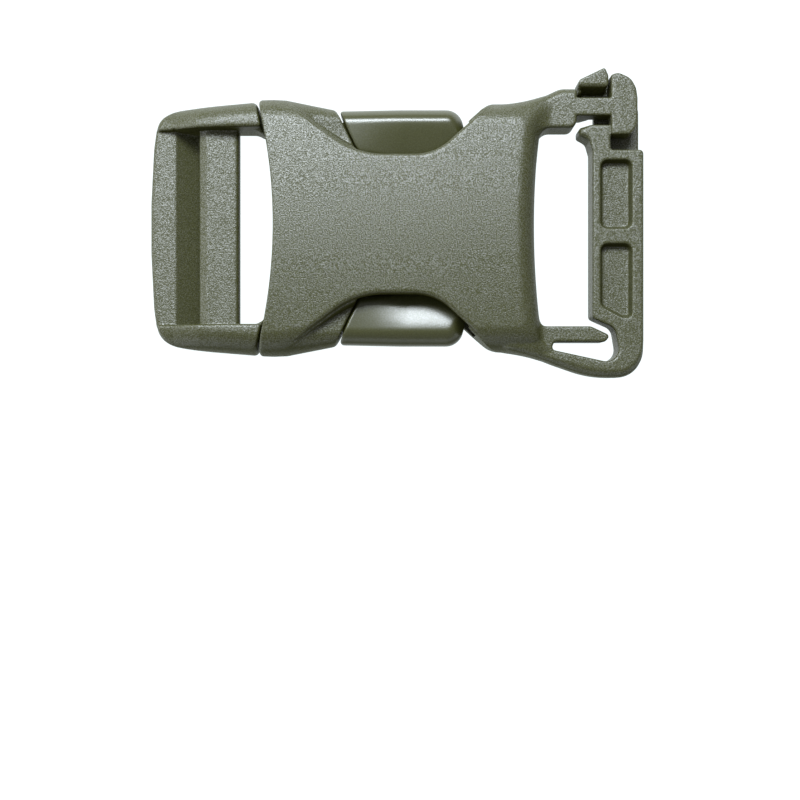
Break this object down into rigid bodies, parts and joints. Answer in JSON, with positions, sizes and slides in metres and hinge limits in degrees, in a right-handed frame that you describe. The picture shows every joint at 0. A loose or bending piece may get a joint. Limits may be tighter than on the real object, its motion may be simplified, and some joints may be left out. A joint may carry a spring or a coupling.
{
  "type": "side release buckle",
  "caption": "Fastened side release buckle for webbing: a plug with a ladder-lock frame and release pads, in a hollow socket with a split strap bar.",
  "frame": {"origin": "middle of the waist, on the flat back of the socket's shell", "axes": "+X along the webbing towards the split bar, +Y across the webbing towards the upper arm, +Z out of the front face"},
  "size_m": [0.0979, 0.0611, 0.0132],
  "materials": {
    "plug_plastic": "fine-grained olive grey nylon, release pads smoother",
    "socket_plastic": "fine spark-eroded grain, olive grey nylon"
  },
  "bodies": {
    "root": {"plug_half": "plug_plastic", "socket_half": "socket_plastic"}
  },
  "joints": []
}
